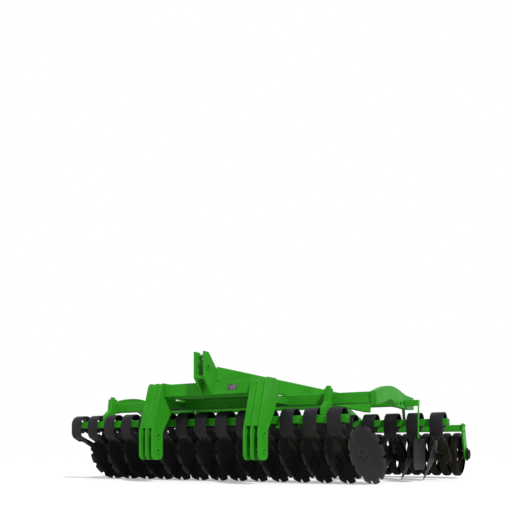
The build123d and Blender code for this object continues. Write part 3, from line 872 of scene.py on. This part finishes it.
class HARROW_OT_discs(bpy.types.Operator):
    """Dished and notched discs with hubs and bolts, each on its own spindle"""
    bl_idname = "harrow.discs"
    bl_label = "Discs"

    steps_per_notch = 12
    dish_curve = 1.25
    ground_width = 0.014
    lobe_band = 0.03
    bolt_size = 0.009

    # Radii of the rings of points on the flat middle and on the slope
    flat_radii = (0, 0.03)
    slope_radii = (0.12, 0.16, 0.2, 0.235, 0.262)

    # A hub: shares of its radius and of its length
    hub_profile = [(0, 0), (1, 0), (1, 0.45), (0.86, 0.55), (0.8, 1), (0, 1)]

    def execute(self, context):
        shape = self.blade(context.scene.harrow_discs)
        for joint in disc_joints("front") + disc_joints("rear"):
            node = joint["child"]
            disc = copied(shape, [disc_place(joint)])
            new_piece(disc, node.replace("_disc_", "_blade_"), ["rolled_disc_steel", "bolt_steel"], node,
                      [node])
        return {"FINISHED"}

    def dish_height(self, discs, radius):
        """Height of the back of the disc at a radius."""
        share = max(0.0, (radius - discs.flat) / (discs.radius - discs.flat))
        return discs.dish * (share ** self.dish_curve - 1)

    def rim_limit(self, discs, angle):
        """Radius of the rim at an angle from the middle of a lobe."""
        spread = tau / discs.count
        off = abs((angle + spread / 2) % spread - spread / 2)
        share = max(0.0, (off - discs.lobe / 2) / (spread / 2 - discs.lobe / 2))
        return discs.radius - discs.notch * sin(pi / 2 * min(1.0, share))

    def blade(self, discs):
        """One disc with its hub, in its own place."""
        ground = discs.radius - self.ground_width
        radii = [*self.flat_radii, discs.flat, *self.slope_radii, ground, discs.radius]
        rim_start = discs.radius - discs.notch - self.lobe_band
        bm = bmesh.new()
        spin_line(bm, [(radius, 0) for radius in radii], discs.count * self.steps_per_notch)
        bmesh.ops.remove_doubles(bm, verts=bm.verts, dist=MERGE)
        for vert in bm.verts:
            radius = vert.co.xy.length
            if radius > rim_start:
                angle = atan2(vert.co.y, vert.co.x) - discs.lobe / 2
                share = (radius - rim_start) / (discs.radius - rim_start)
                reach = rim_start + share * (self.rim_limit(discs, angle) - rim_start)
                vert.co.xy *= reach / radius
                radius = reach
            vert.co.z = self.dish_height(discs, radius)
        back_rim = [vert for vert in bm.verts if vert.is_boundary]
        made = bmesh.ops.extrude_face_region(bm, geom=bm.faces[:])["geom"]
        bmesh.ops.translate(bm, vec=(0, 0, discs.thickness), verts=only(made, bmesh.types.BMVert))
        bmesh.ops.translate(bm, vec=(0, 0, discs.thickness - discs.edge), verts=back_rim)
        hub = turned([
            (discs.hub * share, -discs.dish - discs.hub_length * run) for share, run in self.hub_profile
        ], SMALL_ROUND)
        bmesh.ops.recalc_face_normals(bm, faces=bm.faces)
        place_copies(bm, hub, [Matrix.Identity(4)])
        out = Matrix.Translation((discs.bolt_circle, 0, discs.thickness - discs.dish))
        places = [Matrix.Rotation(tau * index / discs.bolts, 4, "Z") @ out for index in range(discs.bolts)]
        place_copies(bm, bolt_mesh(self.bolt_size, self.bolt_size, finish_index=1), places)
        flat = bm.loops.layers.uv.new("disc_face")
        for face in bm.faces:
            for loop in face.loops:
                loop[flat].uv = loop.vert.co.xy
        return to_mesh(bm, "disc_shape")


class HARROW_OT_roller(bpy.types.Operator):
    """Open rings on bars along an axle tube"""
    bl_idname = "harrow.roller"
    bl_label = "Ring roller"

    ring_steps = 48
    bar_corner = 0.002
    axle_corner = 0.002
    collar_width = 0.02
    collar_spread = 1.25

    # A ring's flank: the share of the groove that its steep foot takes, and how far that leans in
    steep_share = 0.4
    lean = 0.005

    # A ring's shoulders, outside and inside: drops from the flat, and steps in from the flat's edge
    outer_shoulder = [(0.006, -0.003), (0.0015, 0.004), (0, 0.01)]
    inner_shoulder = [(0.004, 0.005), (0, 0.012)]

    def execute(self, context):
        roller = context.scene.harrow_roller
        centre = body_centre("roller")
        ring = self.ring(roller)
        half = roller.count * roller.pitch / 2
        places = [
            Matrix.Translation(centre + Vector((-half + roller.pitch * (index + 0.5), 0, 0)))
            @ Matrix.Rotation(roller.turn * index, 4, "X")
            for index in range(roller.count)
        ]
        bm = copied(ring, places)
        collar = roller.axle * self.collar_spread
        end = half + roller.stub_length
        inner = half - self.collar_width
        corner = self.axle_corner
        right_half = [
            (roller.axle, inner - corner), (collar, inner), (collar, half), (roller.stub, half),
            (roller.stub, end - corner), (roller.stub - corner, end), (0, end),
        ]
        axle = turned(mirrored(right_half) + right_half, ROUND)
        place_copies(bm, axle, [Matrix.Translation(centre) @ ALONG_X])
        new_piece(bm, "ring_roller", ["roller_paint"], "roller", ["roller"])
        return {"FINISHED"}

    def ring(self, roller):
        """One ring of channel section round X, with its bar."""
        base, foot = roller.base / 2, roller.radius - roller.groove
        face, top, wall = roller.face / 2, roller.radius, roller.wall
        flank = foot + self.steep_share * roller.groove
        outer = [(foot, -base), (flank, -base + self.lean)]
        outer += [(top - drop, -face + step) for drop, step in self.outer_shoulder]
        outer += mirrored(outer)
        inner = [(foot, base - wall), (flank, base - wall - self.lean)]
        inner += [(top - wall - drop, face - step) for drop, step in self.inner_shoulder]
        inner += mirrored(inner)
        section = turned(outer + inner + outer[:1], self.ring_steps)
        bm = copied(section, [ALONG_X])
        size = Matrix.Diagonal((roller.spoke_thickness, 2 * (top - wall), roller.spoke_width, 1))
        corners = bmesh.ops.create_cube(bm, size=1, matrix=size)["verts"]
        bar = [edge for edge in bm.edges if edge.verts[0] in corners]
        round_off(bm, bar, self.bar_corner)
        return as_mesh(bm, "ring_shape")


class HARROW_OT_roller_bearings(bpy.types.Operator):
    """Bearing housings on the roller's side plates, and the bolts that hold those to its beam"""
    bl_idname = "harrow.roller_bearings"
    bl_label = "Roller bearings"

    bore = 0.0305
    flange, flange_height = 0.08, 0.009
    flange_corner = 0.002
    shoulder, shoulder_height = 0.064, 0.012
    neck, neck_height = 0.058, 0.016
    neck_taper = 0.001
    mouth, mouth_corner = 0.052, 0.006
    bolt_circle = 0.068
    bolt_size = 0.009
    beam_bolt_place = 0.032
    beam_bolt_size = 0.01

    def execute(self, context):
        centre = body_centre("roller")
        beam_low, beam_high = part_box("roller_beam")
        beam_middle = (beam_low + beam_high) / 2
        for name, side in SIDES:
            low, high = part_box(f"roller_side_plate_{name}")
            inner, outer = sorted((abs(low.x), abs(high.x)))
            face = inner + THICK_PLATE
            place = facing((side * face, centre.y, centre.z), (side, 0, 0))
            housing = copied(self.housing(outer - face), [place])
            new_piece(housing, f"roller_bearing_{name}", ["cast_iron"], "frame")
            ring = [
                place @ Matrix.Translation((
                    self.bolt_circle * cos(turn), self.bolt_circle * sin(turn), self.flange_height))
                for turn in (radians(45 + 90 * index) for index in range(4))
            ]
            bolts(f"roller_bearing_bolts_{name}", ring, self.bolt_size, self.bolt_size)
            spots = [
                facing((side * face, beam_middle.y + across, beam_middle.z + rise), (side, 0, 0))
                for across in (-self.beam_bolt_place, self.beam_bolt_place)
                for rise in (-self.beam_bolt_place, self.beam_bolt_place)
            ]
            bolts(f"roller_plate_bolts_{name}", spots, self.beam_bolt_size, self.beam_bolt_size,
                  "green_paint", "frame_paint")
        return {"FINISHED"}

    def housing(self, depth):
        """A flanged housing, standing on Z = 0."""
        return turned([
            (self.bore, 0), (self.flange - self.flange_corner, 0), (self.flange, self.flange_corner),
            (self.flange, self.flange_height), (self.shoulder, self.shoulder_height),
            (self.neck, self.neck_height), (self.neck - self.neck_taper, depth - self.mouth_corner),
            (self.mouth, depth), (self.bore, depth), (self.bore, 0),
        ], LARGE_ROUND)


class HARROW_OT_hitch_details(bpy.types.Operator):
    """Collars round the link holes, round cross tubes in the mast, and the blank label plate"""
    bl_idname = "harrow.hitch_details"
    bl_label = "Hitch details"

    bore_spare = 0.0004
    collar_width = 0.014
    collar_height = 0.009
    collar_corner = 0.002
    collar_chamfer = 0.00225
    tube_radius = 0.0195
    tube_inset = 0.04
    tube_lead = 0.078
    tube_steps = 28
    label_width = 0.11
    label_height = 0.06
    label_thickness = 0.0024
    label_sink = 0.0004
    label_x = 0.297
    label_z = 0.956
    label_corner = 0.0007
    rivet_inset = 0.008
    rivet_radius = 0.0026
    rivet_height = 0.002

    def execute(self, context):
        self.link_collars()
        self.mast_tubes()
        self.label()
        return {"FINISHED"}

    def collar(self, bore):
        """A collar round a link hole, standing on Z = 0."""
        outer, height = bore + self.collar_width, self.collar_height
        corner, chamfer = self.collar_corner, self.collar_chamfer
        return turned([
            (bore, 0), (outer, 0), (outer, height - chamfer), (outer - chamfer, height),
            (bore + corner, height), (bore, height - corner), (bore, 0),
        ], LARGE_ROUND)

    def link_collars(self):
        bm = bmesh.new()
        for mount in frame["record"]["mounts"]:
            x, y, z = mount["pos_m"]
            collar = self.collar(mount["dims"]["r_mm"] / 1000 + self.bore_spare)
            if mount["name"].startswith("lower"):
                name = "hitch_bracket_left" if x < 0 else "hitch_bracket_right"
            else:
                name = "mast"
            low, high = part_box(name)
            places = [facing((start, y, z), (side, 0, 0)) for start, side in ((low.x, -1), (high.x, 1))]
            place_copies(bm, collar, places)
        new_piece(bm, "link_collars", ["green_paint"], "frame")

    def mast_tubes(self):
        """Two tubes between the mast's plates: one at its top, and one over the top beam."""
        low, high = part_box("mast")
        beam_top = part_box("top_cross_beam")[1].z
        inner, radius = high.x - THICK_PLATE, self.tube_radius
        tube = turned([(0, -inner), (radius, -inner), (radius, inner), (0, inner)], self.tube_steps)
        spots = [
            (0, low.y + self.tube_lead, high.z - self.tube_inset),
            (0, low.y + self.tube_inset, beam_top + self.tube_inset),
        ]
        tubes = copied(tube, [Matrix.Translation(spot) @ ALONG_X for spot in spots])
        new_piece(tubes, "mast_tubes", ["green_paint"], "frame")

    def label(self):
        """A blank label plate on the top beam's front, with a rivet near each corner."""
        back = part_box("top_cross_beam")[0].y + self.label_sink
        front = back - self.label_thickness
        size = Matrix.Diagonal((self.label_width, self.label_thickness, self.label_height, 1))
        bm = bmesh.new()
        place = Matrix.Translation((self.label_x, (front + back) / 2, self.label_z))
        bmesh.ops.create_cube(bm, size=1, matrix=place @ size)
        new_piece(bm, "label_plate", ["label_sheet"], "frame", bevel=self.label_corner)
        across = self.label_width / 2 - self.rivet_inset
        rise = self.label_height / 2 - self.rivet_inset
        corners = [
            facing((self.label_x + x, front, self.label_z + z), (0, -1, 0))
            for x in (-across, across) for z in (-rise, rise)
        ]
        bolts("label_rivets", corners, self.rivet_radius, self.rivet_height)


class HARROW_OT_side_plates(bpy.types.Operator):
    """Bulged side plates at the ends of the main beam, with their three bolts"""
    bl_idname = "harrow.side_plates"
    bl_label = "Side plates"

    bolt_radius = 0.0095
    bolt_height = 0.006

    def execute(self, context):
        beam_low, beam_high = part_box("main_cross_beam")
        start_y, middle_z = beam_low.y, (beam_low.z + beam_high.z) / 2
        outline = [(start_y + run, middle_z + rise) for run, rise in SIDE_OUTLINE]
        spots = []
        for name, side in SIDES:
            node = f"side_plate_{name}"
            low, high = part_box(node)
            painted_piece(slab(outline, low.x, high.x - low.x), node, PLATE_CORNER)
            face = high.x if side > 0 else low.x
            for run, rise in SIDE_SPOTS:
                spots.append(facing((face, start_y + run, middle_z + rise), (side, 0, 0)))
        bolts("side_plate_bolts", spots, self.bolt_radius, self.bolt_height, finish="spring_paint")
        return {"FINISHED"}


class HARROW_OT_frame_details(bpy.types.Operator):
    """Round caps on the front hangers, and the deflector plate with its bolts"""
    bl_idname = "harrow.frame_details"
    bl_label = "Frame details"

    cap_inset = 0.042
    cap_profile = [(0, 0), (0.027, 0), (0.027, 0.018), (0.023, 0.024), (0.012, 0.027), (0, 0.028)]
    deflector_corner = 0.0015
    bolt_drops = (0.018, 0.044)
    bolt_radius = 0.008
    bolt_height = 0.007

    def execute(self, context):
        self.hanger_caps()
        self.deflector()
        return {"FINISHED"}

    def hanger_caps(self):
        places = []
        for name, _ in SIDES:
            low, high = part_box(f"front_hanger_{name}")
            places.append(Matrix.Translation(((low.x + high.x) / 2, high.y - self.cap_inset, high.z)))
        caps = copied(turned(self.cap_profile, SMALL_ROUND), places)
        new_piece(caps, "hanger_caps", ["green_paint"], "frame")

    def deflector(self):
        low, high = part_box("deflector_plate")
        new_piece(merged_copy("deflector_plate"), "deflector_guard", ["deflector_paint"], "frame",
                  ["deflector_plate"], self.deflector_corner)
        middle = (low.y + high.y) / 2
        heads = [facing((high.x, middle, high.z - drop), (1, 0, 0)) for drop in self.bolt_drops]
        bolts("deflector_bolts", heads, self.bolt_radius, self.bolt_height)


OPERATORS = [
    HARROW_OT_stage,
    HARROW_OT_painted_steel,
    HARROW_OT_spring_arms,
    HARROW_OT_clamps,
    HARROW_OT_carriers,
    HARROW_OT_discs,
    HARROW_OT_roller,
    HARROW_OT_roller_bearings,
    HARROW_OT_hitch_details,
    HARROW_OT_side_plates,
    HARROW_OT_frame_details,
]


class HARROW_PT_looks(bpy.types.Panel):
    """Lists the harrow's pieces and settings"""
    bl_idname = "HARROW_PT_looks"
    bl_label = "Disc harrow"
    bl_space_type = "VIEW_3D"
    bl_region_type = "UI"
    bl_category = "Harrow"

    def draw(self, context):
        for operator in OPERATORS:
            self.layout.operator(operator.bl_idname)
        for name, group in SETTINGS:
            box = self.layout.box()
            box.label(text=group.__doc__)
            for key in group.__annotations__:
                box.prop(getattr(context.scene, name), key)


def register():
    for name, group in SETTINGS:
        bpy.utils.register_class(group)
        setattr(bpy.types.Scene, name, PointerProperty(type=group))
    for operator in OPERATORS:
        bpy.utils.register_class(operator)
    bpy.utils.register_class(HARROW_PT_looks)


def unregister():
    bpy.utils.unregister_class(HARROW_PT_looks)
    for operator in reversed(OPERATORS):
        bpy.utils.unregister_class(operator)
    for name, group in reversed(SETTINGS):
        delattr(bpy.types.Scene, name)
        bpy.utils.unregister_class(group)


def main():
    register()
    make_finishes()
    bpy.ops.harrow.stage()
    bpy.ops.harrow.painted_steel()
    bpy.ops.harrow.spring_arms()
    bpy.ops.harrow.clamps()
    bpy.ops.harrow.carriers()
    bpy.ops.harrow.discs()
    bpy.ops.harrow.roller()
    bpy.ops.harrow.roller_bearings()
    bpy.ops.harrow.hitch_details()
    bpy.ops.harrow.side_plates()
    bpy.ops.harrow.frame_details()


if __name__ == "__main__":
    main()
